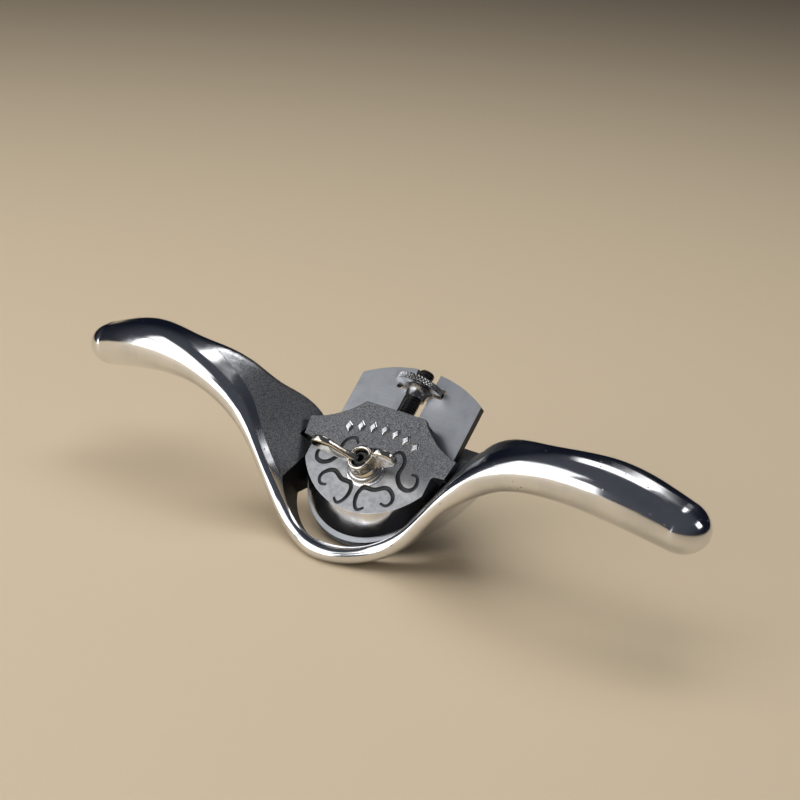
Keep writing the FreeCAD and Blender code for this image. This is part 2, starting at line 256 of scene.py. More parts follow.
def tube(shape, path, radius):
    """A round bar along a path of points, with round ends. radius is a function of the place 0..1."""
    sides = 12
    rows = []
    for i, point in enumerate(path):
        before = Vector(path[max(i - 1, 0)])
        after = Vector(path[min(i + 1, len(path) - 1)])
        along = (after - before).normalized()
        across = along.cross(Vector((0, 0, 1)))
        if across.length < 0.1:
            across = along.cross(Vector((0, 1, 0)))
        across.normalize()
        up = across.cross(along)
        size = radius(i / (len(path) - 1))
        ring = []
        for k in range(sides):
            angle = 2 * math.pi * k / sides
            ring.append(Vector(point) + (across * math.cos(angle) + up * math.sin(angle)) * size)
        rows.append(ring)
    grid = skin(shape, rows)
    first, second, before_last, last = (Vector(path[i]) for i in (0, 1, -2, -1))
    first += (first - second).normalized() * radius(0) * 0.5
    last += (last - before_last).normalized() * radius(1) * 0.5
    cap_ring(shape, grid[0], first, True)
    cap_ring(shape, grid[-1], last, False)


# ---------------------------------------------------------------- body casting

# Half of the band's shape, from the middle outwards: x and z of the underside, y and radius of the
# round front edge, y of the rear corners, rear height and radius of the rear corners.
BAND_SHAPE = [
    (0.0, -3.3, -12.2, 3.0, 10.0, 6.0, 2.0),
    (17.2, -0.8, -7.4, 3.0, 12.5, 7.0, 2.0),
    (32.2, 9.9, -2.4, 3.0, 25.0, 11.6, 2.0),
    (43.0, 24.0, -0.6, 3.0, 29.0, 12.0, 2.0),
    (52.3, 31.2, 2.2, 4.7, 20.5, 12.9, 3.9),
    (62.5, 37.3, 2.7, 5.8, 13.2, 14.9, 5.9),
    (76.0, 40.1, 4.6, 7.7, 8.4, 16.2, 7.7),
    (98.0, 38.5, 7.8, 9.4, 10.8, 19.1, 9.4),
    (123.2, 33.2, 11.3, 8.3, 14.0, 16.9, 8.3),
]
BAND_END = BAND_SHAPE[-1][0]
BAND_STEPS = 230         # on each half
GRIP_END_REACH = 10.5
GRIP_END_STEPS = 26
FRONT_STEPS = 32
CORNER_STEPS = 14
SIDE_STEPS = 18
BACK_STEPS = 6


def band_curves():
    """One smooth curve along the whole band for each column of the shape table."""
    left = [(-row[0],) + row[1:] for row in BAND_SHAPE[:0:-1]]
    columns = list(zip(*(left + BAND_SHAPE)))
    return [natural_cubic(columns[0], column) for column in columns[1:]]


CURVES = band_curves()


def band_values(x):
    """Underside z, front y, front radius, rear y, rear height and rear radius at a place."""
    return [height(x) for height, _ in CURVES]


def band_slope(x):
    """Slope of the underside at a place, as an angle."""
    return math.atan(CURVES[0][1](x))


def section_outline(front_y, front_radius, rear_y, rear_height, rear_radius):
    """Points round one section as (y, height above the underside)."""
    across = rear_y - front_y
    up = rear_height - rear_radius - front_radius
    lean = math.acos((front_radius - rear_radius) / math.hypot(across, up))
    turn = math.degrees(math.atan2(up, across) + lean)
    front = arc_points(front_y, front_radius, front_radius, 270, turn, FRONT_STEPS)
    rear_top = arc_points(rear_y, rear_height - rear_radius, rear_radius, turn, 0, CORNER_STEPS)
    rear_low = arc_points(rear_y, rear_radius, rear_radius, 0, -90, CORNER_STEPS)
    return (front + points_between(front[-1], rear_top[0], SIDE_STEPS) + rear_top
            + points_between(rear_top[-1], rear_low[0], BACK_STEPS) + rear_low
            + points_between(rear_low[-1], front[0], SIDE_STEPS))


def section_row(x, z, slope, outline, rise=0.0):
    """The outline's points in the row frame. The section stands square to the underside."""
    return [((x - math.sin(slope) * (h + rise)) * MM, y * MM, (z + math.cos(slope) * (h + rise)) * MM)
            for y, h in outline]


def grip_end_rows():
    """Rows that round off the right-hand grip, and its tip."""
    z, front_y, front_radius, rear_y, rear_height, rear_radius = band_values(BAND_END)
    slope = band_slope(BAND_END)
    middle_y = (front_y + rear_y) / 2
    rows = []
    for k in range(1, GRIP_END_STEPS):
        angle = math.pi / 2 * k / GRIP_END_STEPS
        shrink = math.cos(angle)
        reach = GRIP_END_REACH * math.sin(angle)
        half_gap = (rear_y - front_y) / 2 * shrink
        outline = section_outline(middle_y - half_gap, front_radius * shrink,
                                  middle_y + half_gap, rear_height * shrink, rear_radius * shrink)
        rows.append(section_row(BAND_END + math.cos(slope) * reach, z + math.sin(slope) * reach,
                                slope, outline, rear_height / 2 * (1 - shrink)))
    tip = section_row(BAND_END + math.cos(slope) * GRIP_END_REACH,
                      z + math.sin(slope) * GRIP_END_REACH, slope, [(middle_y, rear_height / 2)])[0]
    return rows, tip


def band():
    """The bar from grip to grip, before the throat is cut."""
    rows = []
    for k in range(-BAND_STEPS, BAND_STEPS + 1):
        x = BAND_END * k / BAND_STEPS
        values = band_values(x)
        rows.append(section_row(x, values[0], band_slope(x), section_outline(*values[1:])))
    end_rows, tip = grip_end_rows()
    left_rows = [[(-x, y, z) for x, y, z in row] for row in end_rows[::-1]]
    shape = bmesh.new()
    grid = skin(shape, left_rows + rows + end_rows)
    cap_ring(shape, grid[0], (-tip[0], tip[1], tip[2]), True)
    cap_ring(shape, grid[-1], tip, False)
    bmesh.ops.recalc_face_normals(shape, faces=shape.faces)
    return new_piece("body_casting_finish", shape)


def round_end(radius, lowest, half_width, top):
    """Outline with a round lower end and straight sides."""
    reach = math.degrees(math.asin(half_width / radius))
    points = arc_points(0, lowest + radius, radius, 270 - reach, 270 + reach, 72)
    return points + [(half_width, top), (-half_width, top)]


def rectangle(half_width, low, high):
    """Outline of a rectangle that is centred across the bed."""
    return [(-half_width, low), (half_width, low), (half_width, high), (-half_width, high)]


# Bed axes: the throat round the blade, the room for the cap's wings, and the bed block.
CUT_REACH = 40.0
THROAT_HALF_WIDTH = BLADE_HALF_WIDTH + 1.8
THROAT_RADIUS = 32.5
THROAT_LOW = -5.5
THROAT_TOP = 90.0
WING_ROOM_HALF_WIDTH = 33.5
WING_ROOM_LOW = 30.6
WING_ROOM_HEIGHT = 3.7
BED_HEIGHT = -3.02
BED_TOP = 44.0
BED_PLATE_THICKNESS = 7.8
HEEL_RADIUS = 28.31
HEEL_HALF_WIDTH = 28.3
HEEL_LOW = -0.8
HEEL_TOP = BED_TOP - 0.02    # just inside the shoulders, so that no two faces coincide
SHOULDER_HALF_WIDTH = BLADE_HALF_WIDTH + 4.0
SHOULDER_LOW = 17.0
LUG_HALF_WIDTH = 4.5
LUG_LOW = 36.0
LUG_HIGH = 46.0
LUG_FOOT = -6.0
LUG_TOP = 4.5
# The bright rim reaches over a share of the front edge's rounding and a little further back.
BRIGHT_RIM_SHARE = 0.35
BRIGHT_RIM_WIDTH = 1.2


def place_on_band(across, up):
    """How far out along the band a point lies. Each round steps closer to the section under it."""
    x = min(across, BAND_END)
    for _ in range(8):
        slope = band_slope(x)
        miss = (across - x) * math.cos(slope) + (up - band_values(x)[0]) * math.sin(slope)
        x = max(0.0, min(BAND_END, x + 0.8 * miss))
    return x


def mark_places(obj):
    """Stores where each vertex lies on the band: along it, behind its bright rim, above its sole."""
    marks = {"along": [], "behind_rim": [], "above_sole": []}
    for vertex in obj.data.vertices:
        across = abs(vertex.co.x) / MM
        up = vertex.co.z / MM
        x = place_on_band(across, up)
        slope = band_slope(x)
        z, front_y, front_radius = band_values(x)[:3]
        rim_y = front_y + BRIGHT_RIM_SHARE * front_radius + BRIGHT_RIM_WIDTH
        marks["along"].append(x)
        marks["behind_rim"].append(vertex.co.y / MM - rim_y)
        marks["above_sole"].append((up - z) * math.cos(slope) - (across - x) * math.sin(slope))
    for name, values in marks.items():
        attribute = obj.data.attributes.new(name, "FLOAT", "POINT")
        attribute.data.foreach_set("value", values)


def body_casting():
    """The band with its throat cut out and its bed and lug added."""
    body = band()
    give(body, finishes["cast_body"])
    mouth = round_end(THROAT_RADIUS, THROAT_LOW, THROAT_HALF_WIDTH, THROAT_TOP)
    wing_room = rectangle(WING_ROOM_HALF_WIDTH, WING_ROOM_LOW, THROAT_TOP)
    cutters = [
        prism("throat", mouth, -CUT_REACH, CUT_REACH),
        prism("wing_room", wing_room, WING_ROOM_HEIGHT, CUT_REACH + 1),
    ]
    for cutter in cutters:
        # The cut walls get a near-black finish: painted shade for the throat's shadow.
        give(cutter, finishes["cast_wall_painted_shade"])
        combine(body, cutter, "DIFFERENCE")
    bed = (BED_HEIGHT - BED_PLATE_THICKNESS, BED_HEIGHT, (0, BED_PLATE_THICKNESS))
    heel = round_end(HEEL_RADIUS, HEEL_LOW, HEEL_HALF_WIDTH, HEEL_TOP)
    shoulders = rectangle(SHOULDER_HALF_WIDTH, SHOULDER_LOW, BED_TOP)
    added = [
        prism("heel", heel, *bed),
        prism("shoulders", shoulders, *bed),
        prism("lug", rectangle(LUG_HALF_WIDTH, LUG_LOW, LUG_HIGH), LUG_FOOT, LUG_TOP),
    ]
    for block in added:
        round_edges(block, 0.6, 40.0, 3)
        give(block, finishes["cast_bed"])
        combine(body, block, "UNION")
    mark_places(body)
    shade_smooth(body, 32)
    take_place(body, "body_casting", "root")


# ---------------------------------------------------------------- blade

SHADED_SIDE_SLOT = 1


def blade():
    """The ground blade, its edges just broken and its sides painted near-black as painted shade."""
    piece = copy_of_node("blade_finish", "blade")
    give(piece, finishes["blade_steel"], finishes["blade_side_painted_shade"])
    # Faces that look sideways get the near-black finish: painted shade.
    for polygon in piece.data.polygons:
        if abs(polygon.normal.x) > 0.7:
            polygon.material_index = SHADED_SIDE_SLOT
    round_edges(piece, 0.12, 25.0, 2)
    shade_smooth(piece, 25)
    flatten_normals(piece)
    take_place(piece, "blade", "blade")


# ---------------------------------------------------------------- cap iron

BOSS_RADIUS = 6.8
SCROLL_WIDTH = 1.7
SCROLL_LIFT = 0.12
# Centre lines of the right-hand engraved scrolls on the cap's face, as x and y.
LOWER_SCROLL = [(6.7, 12.0), (4.5, 10.6), (2.4, 12.7), (1.7, 16.2), (3.3, 19.2), (7.4, 19.6),
                (11.4, 21.6), (15.1, 20.2), (16.3, 17.5), (14.9, 15.4), (12.3, 15.6)]
UPPER_SCROLL = [(7.9, 34.2), (10.1, 36.0), (13.1, 34.2), (13.9, 30.7), (13.8, 27.2), (16.9, 23.8),
                (20.8, 23.6), (22.4, 26.3), (21.2, 29.2), (18.8, 29.4)]
ORNAMENT_COUNT = 7
ORNAMENT_RADIUS = 42.0
ORNAMENT_TOP = 42.3
ORNAMENT_STEP = 7.0      # degrees
LOZENGE_CORNERS = [(1.9, 0), (0, 2.5), (-1.9, 0), (0, -2.5)]
# Height above the cap's face and size of a lozenge's foot, shoulder and top.
LOZENGE_LAYERS = [(-0.6, 1.0), (0.35, 1.0), (0.75, 0.62)]
CAP_FACE_HEIGHT = 7.0    # at the face's lowest point
CAP_FACE_LOW = 9.0
CAP_FACE_RISE = 1.0 / 30.0
RIM_SLOT = 1
NOSE_SLOT = 2


def cap_face_height(y):
    """Height of the cap's front face above the blade."""
    return CAP_FACE_HEIGHT + (y - CAP_FACE_LOW) * CAP_FACE_RISE


def scroll_radius(t):
    """Radius of a scroll's cutter, which is slimmer towards its ends."""
    return SCROLL_WIDTH / 2 * (0.62 + 0.5 * math.sin(math.pi * t))


def scrolls():
    """Round cutters that lie half in the cap's face."""
    shape = bmesh.new()
    for line in (LOWER_SCROLL, UPPER_SCROLL):
        for side in (-1, 1):
            path = [(side * x, y, cap_face_height(y) + SCROLL_LIFT) for x, y in smooth_path(line, 90)]
            tube(shape, path, scroll_radius)
    bmesh.ops.recalc_face_normals(shape, faces=shape.faces)
    shape.transform(TO_ROW)
    return new_piece("scrolls", shape)


def ornament():
    """A row of raised lozenges on an arc near the cap's top."""
    shape = bmesh.new()
    for k in range(ORNAMENT_COUNT):
        turn = math.radians((k - (ORNAMENT_COUNT - 1) / 2) * ORNAMENT_STEP)
        centre_x = ORNAMENT_RADIUS * math.sin(turn)
        centre_y = ORNAMENT_TOP - ORNAMENT_RADIUS * (1 - math.cos(turn))
        rows = []
        for height, size in LOZENGE_LAYERS:
            row = []
            for across, along in LOZENGE_CORNERS:
                x = centre_x + size * (across * math.cos(turn) + along * math.sin(turn))
                y = centre_y + size * (along * math.cos(turn) - across * math.sin(turn))
                row.append((x, y, cap_face_height(y) + height))
            rows.append(row)
        grid = skin(shape, rows)
        shape.faces.new(grid[0][::-1])
        shape.faces.new(grid[-1])
    bmesh.ops.recalc_face_normals(shape, faces=shape.faces)
    shape.transform(TO_ROW)
    piece = new_piece("ornament", shape)
    round_edges(piece, 0.18, 30.0, 2)
    return piece


def turned(profile, sides, axis_y=0.0, pattern=None):
    """A ring-shaped solid turned about the bed's z axis. profile goes round its section as (r, z).
    pattern gives what a point's radius changes by, from its angle and its (r, z)."""
    shape = bmesh.new()
    rows = []
    for k in range(sides):
        angle = 2 * math.pi * k / sides
        row = []
        for r, z in profile:
            size = r + (pattern(angle, r, z) if pattern else 0.0)
            row.append((size * math.cos(angle), axis_y + size * math.sin(angle), z))
        rows.append(row)
    skin(shape, rows, closed=True)
    bmesh.ops.recalc_face_normals(shape, faces=shape.faces)
    return shape


def boss_fillet():
    """The hollow foot of the cap's boss."""
    face = cap_face_height(STUD_Y)
    fillet = 1.9
    inside = 5.0
    buried = face - 1.5
    foot_centre = (BOSS_RADIUS - 0.25 + fillet, face + fillet)
    foot = arc_points(*foot_centre, fillet, 180, 270, 9)
    profile = [(inside, buried), (inside, 9.0)] + foot + [(BOSS_RADIUS + 1.0, buried)]
    shape = turned(profile, 96, STUD_Y)
    shape.transform(TO_ROW)
    return new_piece("fillet", shape)


def cap_iron():
    """The cap with rounded edges, a filleted boss, raised lozenges and engraved scrolls."""
    cap = copy_of_node("cap_iron_finish", "cap_iron")
    give(cap, finishes["cast_cap"], finishes["bright_rim"], finishes["cap_nose"])
    to_bed = TO_ROW.inverted().to_3x3()
    # The nose's bevel is the face that looks down the bed and outwards.
    for polygon in cap.data.polygons:
        normal = (to_bed @ polygon.normal).normalized()
        if normal.y < -0.2 and 0.15 < normal.z < 0.97:
            polygon.material_index = NOSE_SLOT
    round_edges(cap, 0.45, 24.0, 3, RIM_SLOT)
    steps = [
        (boss_fillet(), "bright_rim", "UNION"),
        (ornament(), "bright_rim", "UNION"),
        (scrolls(), "engraving", "DIFFERENCE"),
    ]
    for piece, material, operation in steps:
        give(piece, finishes[material])
        combine(cap, piece, operation)
    shade_smooth(cap, 30)
    flatten_normals(cap)
    take_place(cap, "cap_iron", "cap_iron")


# ---------------------------------------------------------------- screws

THREAD_RADIUS = 3.0
THREAD_DEPTH = 0.45
PITCH = 1.0
SCREW_CHAMFER = 0.7
CAP_STUD_FOOT = -9.5
CAP_STUD_TOP = 14.4
SOCKET_ACROSS_FLATS = 3.0
SOCKET_DEPTH = 3.0
ADJUSTER_FOOT = LUG_LOW + 1.0
ADJUSTER_TOP = 71.6


def thread_radius(place):
    """Radius of the thread at a place in its turn, 0 to 1. Its crest and its root are flat."""
    ridge = min(1.0, 2.6 * abs(2 * place - 1) - 0.55)
    return THREAD_RADIUS - THREAD_DEPTH * (1 - max(0.0, ridge))


def threaded_rod(low, high):
    """A threaded rod along z, its upper end chamfered."""
    sides = 48
    rows_per_turn = 10
    count = int((high - low) / PITCH * rows_per_turn)
    shape = bmesh.new()
    rows = []
    for k in range(count + 1):
        z = low + (high - low) * k / count
        limit = THREAD_RADIUS - max(0.0, SCREW_CHAMFER - (high - z))
        row = []
        for i in range(sides):
            size = min(limit, thread_radius((z / PITCH - i / sides) % 1.0))
            angle = 2 * math.pi * i / sides
            row.append((size * math.cos(angle), size * math.sin(angle), z))
        rows.append(row)
    grid = skin(shape, rows)
    shape.faces.new(grid[0][::-1])
    shape.faces.new(grid[-1])
    bmesh.ops.recalc_face_normals(shape, faces=shape.faces)
    return shape


def cap_stud():
    """The grub screw with its hexagon socket."""
    rod = threaded_rod(CAP_STUD_FOOT, CAP_STUD_TOP)
    rod.transform(TO_ROW @ Matrix.Translation((0, STUD_Y, 0)))
    stud = new_piece("cap_stud_finish", rod)
    corners = arc_points(0, STUD_Y, SOCKET_ACROSS_FLATS / math.sqrt(3), 0, 300, 5)
    socket = prism("socket", corners, CAP_STUD_TOP - SOCKET_DEPTH, CAP_STUD_TOP + 1.0)
    combine(stud, socket, "DIFFERENCE")
    shade_smooth(stud, 40)
    give(stud, finishes["black_screw"])
    take_place(stud, "cap_stud", "root")


def adjuster_stud():
    """The long screw that the adjuster wheel runs on."""
    rod = threaded_rod(ADJUSTER_FOOT, ADJUSTER_TOP)
    rod.transform(ALONG_ADJUSTER)
    stud = new_piece("adjuster_stud_finish", rod)
    shade_smooth(stud, 40)
    give(stud, finishes["black_screw"])
    take_place(stud, "adjuster_stud", "root")


# ---------------------------------------------------------------- wing nut

NUT_FOOT = 9.22
NUT_BORE = 3.3
NUT_NECK = 4.75
NUT_RIM = (4.2, 14.55)   # radius and height of the round top rim's centre
NUT_RIM_RADIUS = 0.72
NUT_TURN = 5.0
# Distance from the nut's axis, height, half width and half thickness along a wing.
WING_STATIONS = [
    (2.2, 11.6, 2.3, 2.1),
    (6.0, 14.0, 3.2, 1.8),
    (10.0, 17.2, 4.3, 1.8),
    (12.8, 20.2, 5.0, 2.0),
]


def nut_hub():
    """A foot that narrows to a neck under a round rim."""
    foot = [(NUT_BORE, NUT_FOOT), (5.9, NUT_FOOT), (6.1, NUT_FOOT + 0.25), (6.0, NUT_FOOT + 1.0)]
    neck = [(NUT_NECK + 1.25 * math.exp(-k / 2.5), NUT_FOOT + 1.0 + 0.45 * k) for k in range(1, 8)]
    rim = arc_points(*NUT_RIM, NUT_RIM_RADIUS, 0, 180, 9)
    return turned(foot + neck + rim + [(NUT_BORE, 14.2)], 120)


def wing_section(side, middle, along, half_width, half_thickness):
    """A flat oval across the wing, a little thicker at its rim than on its face."""
    row = []
    for k in range(32):
        turn = 2 * math.pi * k / 32
        c, s = math.cos(turn), math.sin(turn)
        width = half_width * math.copysign(abs(c) ** 0.7, c)
        thickness = half_thickness * math.copysign(abs(s) ** 0.6, s) * (0.78 + 0.22 * abs(c) ** 2)
        row.append((side * (middle.x - along.y * width), thickness, middle.y + along.x * width))
    return row


def nut_wing(shape, side):
    """One wing: a flat bar that widens outwards and upwards and ends in a round lobe."""
    path = smooth_path(WING_STATIONS, 40)
    tip_steps = 10
    rows = []
    for i in range(len(path) + tip_steps):
        past = max(0, i - len(path) + 1)
        r, z, half_width, half_thickness = path[min(i, len(path) - 1)]
        j = min(max(i, 1), len(path) - 1)
        along = Vector((path[j][0] - path[j - 1][0], path[j][1] - path[j - 1][1])).normalized()
        angle = math.pi / 2 * past / (tip_steps + 1)
        shrink = math.cos(angle)
        middle = Vector((r, z)) + along * (half_width * math.sin(angle))
        rows.append(wing_section(side, middle, along, half_width * shrink,
                                 half_thickness * shrink ** 0.35))
    grid = skin(shape, rows)
    cap_ring(shape, grid[0], (side * path[0][0], 0, path[0][1]), True)
    tip = [sum(point[k] for point in rows[-1]) / len(rows[-1]) for k in range(3)]
    cap_ring(shape, grid[-1], tip, False)


def wing_nut():
    """The hub and both wings, melted together like a casting."""
    shape = nut_hub()
    for side in (-1, 1):
        nut_wing(shape, side)
    bmesh.ops.recalc_face_normals(shape, faces=shape.faces)
    turn = Matrix.Rotation(math.radians(NUT_TURN), 4, "Z")
    shape.transform(TO_ROW @ Matrix.Translation((0, STUD_Y, 0)) @ turn)
    nut = new_piece("wing_nut_finish", shape)
    remesh = nut.modifiers.new("cast", "REMESH")
    remesh.mode = "VOXEL"
    remesh.voxel_size = 0.16 * MM
    relax = nut.modifiers.new("relax", "SMOOTH")
    relax.factor = 0.5
    relax.iterations = 9
    finish_modifiers(nut)
    shade_smooth(nut, 180)
    give(nut, finishes["nut_nickel"])
    take_place(nut, "wing_nut", "wing_nut")


# ---------------------------------------------------------------- adjuster wheel

WHEEL_RADIUS = 9.75
WHEEL_BORE = 3.06
WHEEL_HUB_RADIUS = 4.0
WHEEL_HUB_LOW = 59.9
RIM_LOW = 63.9
RIM_HIGH = 66.3
RIM_CORNER = 0.35
KNURLS = 46
KNURL_DEPTH = 0.42


def knurl(angle, r, z):
    """Depth of the diamond knurling on the rim. It ends before the rim's corners."""
    if r < WHEEL_RADIUS - 0.01 or not RIM_LOW + 0.15 < z < RIM_HIGH - 0.15:
        return 0.0
    along = angle * KNURLS / (2 * math.pi)
    across = (z - RIM_LOW) / (2 * math.pi * WHEEL_RADIUS / KNURLS)
    first = abs(((along + across) % 1.0) * 2 - 1)
    second = abs(((along - across) % 1.0) * 2 - 1)
    return -KNURL_DEPTH * max(first, second) ** 1.5


def wheel_profile():
    """The wheel's section from its hub's foot round the rim and back down its bore."""
    flare_steps = 8
    rim_steps = 14
    hub_top = WHEEL_HUB_LOW + 0.2
    cut = RIM_CORNER * 0.3
    flat = RIM_HIGH - RIM_LOW - 2 * RIM_CORNER
    hub = [(WHEEL_BORE, WHEEL_HUB_LOW), (3.8, WHEEL_HUB_LOW), (WHEEL_HUB_RADIUS, hub_top)]
    flare = [(WHEEL_HUB_RADIUS + 1.8 * (k / flare_steps) ** 3,
              hub_top + (RIM_LOW - hub_top) * k / flare_steps) for k in range(1, flare_steps + 1)]
    rim = [(WHEEL_RADIUS - RIM_CORNER, RIM_LOW), (WHEEL_RADIUS - cut, RIM_LOW + cut)]
    rim += [(WHEEL_RADIUS, RIM_LOW + RIM_CORNER + flat * k / rim_steps)
            for k in range(rim_steps + 1)]
    rim += [(WHEEL_RADIUS - cut, RIM_HIGH - cut), (WHEEL_RADIUS - RIM_CORNER, RIM_HIGH)]
    return hub + flare + rim + [(3.6, RIM_HIGH), (WHEEL_BORE, RIM_HIGH - 0.5)]


def adjuster_wheel():
    """The knurled wheel with its hub towards the blade."""
    shape = turned(wheel_profile(), KNURLS * 10, 0.0, knurl)
    shape.transform(ALONG_ADJUSTER)
    wheel = new_piece("adjuster_wheel_finish", shape)
    shade_smooth(wheel, 35)
    give(wheel, finishes["bright_steel"])
    take_place(wheel, "adjuster_wheel", "adjuster_wheel")


# ---------------------------------------------------------------- materials

def put(tree, kind, settings=None, **inputs):
    """Adds a shader node. Inputs are numbers, colours or the outputs of other nodes."""
    made = tree.nodes.new("ShaderNode" + kind)
    for name, value in (settings or {}).items():
        setattr(made, name, value)
    for name, value in inputs.items():
        connect(tree, value, made.inputs[name.replace("_", " ")])
    return made


def connect(tree, value, socket):
    """Links an output to an input, or sets the input to a plain value."""
    if isinstance(value, bpy.types.NodeSocket):
        tree.links.new(value, socket)
    else:
        socket.default_value = value


def combine_numbers(tree, operation, a, b):
    """Adds or multiplies two numbers."""
    made = tree.nodes.new("ShaderNodeMath")
    made.operation = operation
    connect(tree, a, made.inputs[0])
    connect(tree, b, made.inputs[1])
    return made.outputs[0]


def spread(tree, value, low, high, out_low=0.0, out_high=1.0):
    """Maps a value from one span to another, smoothly and within its ends."""
    made = put(tree, "MapRange", {"interpolation_type": "SMOOTHSTEP"}, Value=value, From_Min=low,
               From_Max=high, To_Min=out_low, To_Max=out_high)
    return made.outputs[0]


def mix_colours(tree, share, a, b):
    """Goes from colour a to colour b as the share grows."""
    made = tree.nodes.new("ShaderNodeMix")
    made.data_type = "RGBA"
    connect(tree, share, made.inputs[0])
    connect(tree, (*a, 1.0) if isinstance(a, tuple) else a, made.inputs[6])
    connect(tree, (*b, 1.0) if isinstance(b, tuple) else b, made.inputs[7])
    return made.outputs[2]


def mix_numbers(tree, share, a, b):
    """Goes from number a to number b as the share grows."""
    made = tree.nodes.new("ShaderNodeMix")
    connect(tree, share, made.inputs[0])
    connect(tree, a, made.inputs[2])
    connect(tree, b, made.inputs[3])
    return made.outputs[0]


def bed_millimetres(tree):
    """Position on the piece in bed axes and millimetres."""
    place = put(tree, "TexCoord").outputs["Object"]
    turned_back = put(tree, "Mapping", Vector=place, Rotation=(-bed_angle, 0.0, 0.0),
                      Scale=(1000.0, 1000.0, 1000.0))
    return turned_back.outputs[0]


def noise(tree, place, scale, detail, stretch=(1.0, 1.0, 1.0), roughness=0.55):
    """Noise with about scale waves per millimetre."""
    stretched = put(tree, "Mapping", Vector=place, Scale=stretch).outputs[0]
    made = put(tree, "TexNoise", Vector=stretched, Scale=scale, Detail=detail, Roughness=roughness)
    return made.outputs[0]


def relief(tree, height, depth):
    """Fine surface relief from a height; depth in millimetres."""
    return put(tree, "Bump", Height=height, Distance=depth * MM, Strength=1.0).outputs[0]


def new_finish(name, metallic):
    """A new node material with its main shader and the position on the piece."""
    made = bpy.data.materials.new(name)
    made.use_nodes = True
    shader = made.node_tree.nodes["Principled BSDF"]
    shader.inputs["Metallic"].default_value = metallic
    return made, made.node_tree, shader, bed_millimetres(made.node_tree)


def wear(tree, shader, place, colour, darker, roughness, rougher):
    """Gives uneven colour and gloss, as handled metal has."""
    patches = spread(tree, noise(tree, place, 0.16, 4.0), 0.38, 0.68)
    speckle = spread(tree, noise(tree, place, 2.5, 2.0), 0.35, 0.75)
    share = combine_numbers(tree, "MULTIPLY", patches, mix_numbers(tree, speckle, 0.6, 1.0))
    connect(tree, mix_colours(tree, share, colour, darker), shader.inputs["Base Color"])
    connect(tree, mix_numbers(tree, share, roughness, rougher), shader.inputs["Roughness"])


def worn_metal(name, metallic, colour, darker, roughness, rougher, grain, depth):
    """A worn metal with a fine even grain."""
    made, tree, shader, place = new_finish(name, metallic)
    wear(tree, shader, place, colour, darker, roughness, rougher)
    connect(tree, relief(tree, noise(tree, place, grain, 3.0), depth), shader.inputs["Normal"])
    return made


def blasted_parts(tree, place):
    """Height and tone of grit-blasted cast iron."""
    grains = noise(tree, place, 2.6, 3.0, roughness=0.7)
    lumps = noise(tree, place, 0.6, 2.0)
    height = combine_numbers(tree, "ADD", grains, combine_numbers(tree, "MULTIPLY", lumps, 1.2))
    tone = spread(tree, grains, 0.35, 0.65)
    return height, tone


def rough_casting(name, metallic, dark, light, roughness, rougher, depth):
    """A casting that was left as it came from the mould."""
    made, tree, shader, place = new_finish(name, metallic)
    height, tone = blasted_parts(tree, place)
    connect(tree, mix_colours(tree, tone, dark, light), shader.inputs["Base Color"])
    connect(tree, mix_numbers(tree, tone, roughness, rougher), shader.inputs["Roughness"])
    connect(tree, relief(tree, height, depth), shader.inputs["Normal"])
    return made


def cast_body():
    """Polished nickel-bright rim, sole and grips; grit-blasted webs; small pits between them."""
    made, tree, shader, place = new_finish("cast_body", 1.0)
    behind = put(tree, "Attribute", {"attribute_name": "behind_rim"}).outputs["Fac"]
    above = put(tree, "Attribute", {"attribute_name": "above_sole"}).outputs["Fac"]
    along = put(tree, "Attribute", {"attribute_name": "along"}).outputs["Fac"]
    ragged = combine_numbers(tree, "MULTIPLY", noise(tree, place, 0.7, 4.0), 7.0)
    web = combine_numbers(tree, "MULTIPLY", spread(tree, behind, -0.12, 0.12),
                          spread(tree, above, 0.6, 1.4))
    fade = spread(tree, combine_numbers(tree, "ADD", along, ragged), 61.0, 76.0, 1.0, 0.0)
    blasted = combine_numbers(tree, "MULTIPLY", web, fade)
    height, tone = blasted_parts(tree, place)
    blasted_colour = mix_colours(tree, tone, (0.09, 0.092, 0.10), (0.42, 0.425, 0.44))
    smudges = spread(tree, noise(tree, place, 0.09, 4.0), 0.35, 0.7)
    clean_colour = mix_colours(tree, smudges, (0.80, 0.80, 0.81), (0.70, 0.71, 0.73))

    cells = put(tree, "TexVoronoi", Vector=place, Scale=0.42).outputs["Distance"]
    pit = spread(tree, cells, 0.07, 0.14, 1.0, 0.0)
    pitted_area = spread(tree, noise(tree, place, 0.13, 2.0), 0.55, 0.66)
    pits = combine_numbers(tree, "MULTIPLY", pit, pitted_area)

    colour = mix_colours(tree, blasted, clean_colour, blasted_colour)
    colour = mix_colours(tree, pits, colour, (0.02, 0.02, 0.022))
    connect(tree, colour, shader.inputs["Base Color"])
    clean_gloss = mix_numbers(tree, smudges, 0.11, 0.17)
    connect(tree, mix_numbers(tree, blasted, clean_gloss, 0.42), shader.inputs["Roughness"])

    hand_polish = combine_numbers(tree, "MULTIPLY", noise(tree, place, 0.11, 1.0), 0.10)
    rough = combine_numbers(tree, "MULTIPLY", height, mix_numbers(tree, blasted, 0.0, 0.10))
    sunk = combine_numbers(tree, "MULTIPLY", pits, -0.12)
    total = combine_numbers(tree, "ADD", combine_numbers(tree, "ADD", hand_polish, rough), sunk)
    connect(tree, relief(tree, total, 1.0), shader.inputs["Normal"])
    return made


def cast_bed():
    """Rough casting of the bed and the adjuster's lug."""
    return rough_casting("cast_bed", 0.95, (0.06, 0.061, 0.066), (0.24, 0.243, 0.25), 0.40, 0.55, 0.09)


def cast_wall_painted_shade():
    """Bare casting inside the throat, painted near-black: painted shade for the shadow it lies in."""
    return rough_casting("cast_wall_painted_shade", 0.85, (0.010, 0.010, 0.012), (0.035, 0.035, 0.038), 0.42, 0.6,
                         0.06)


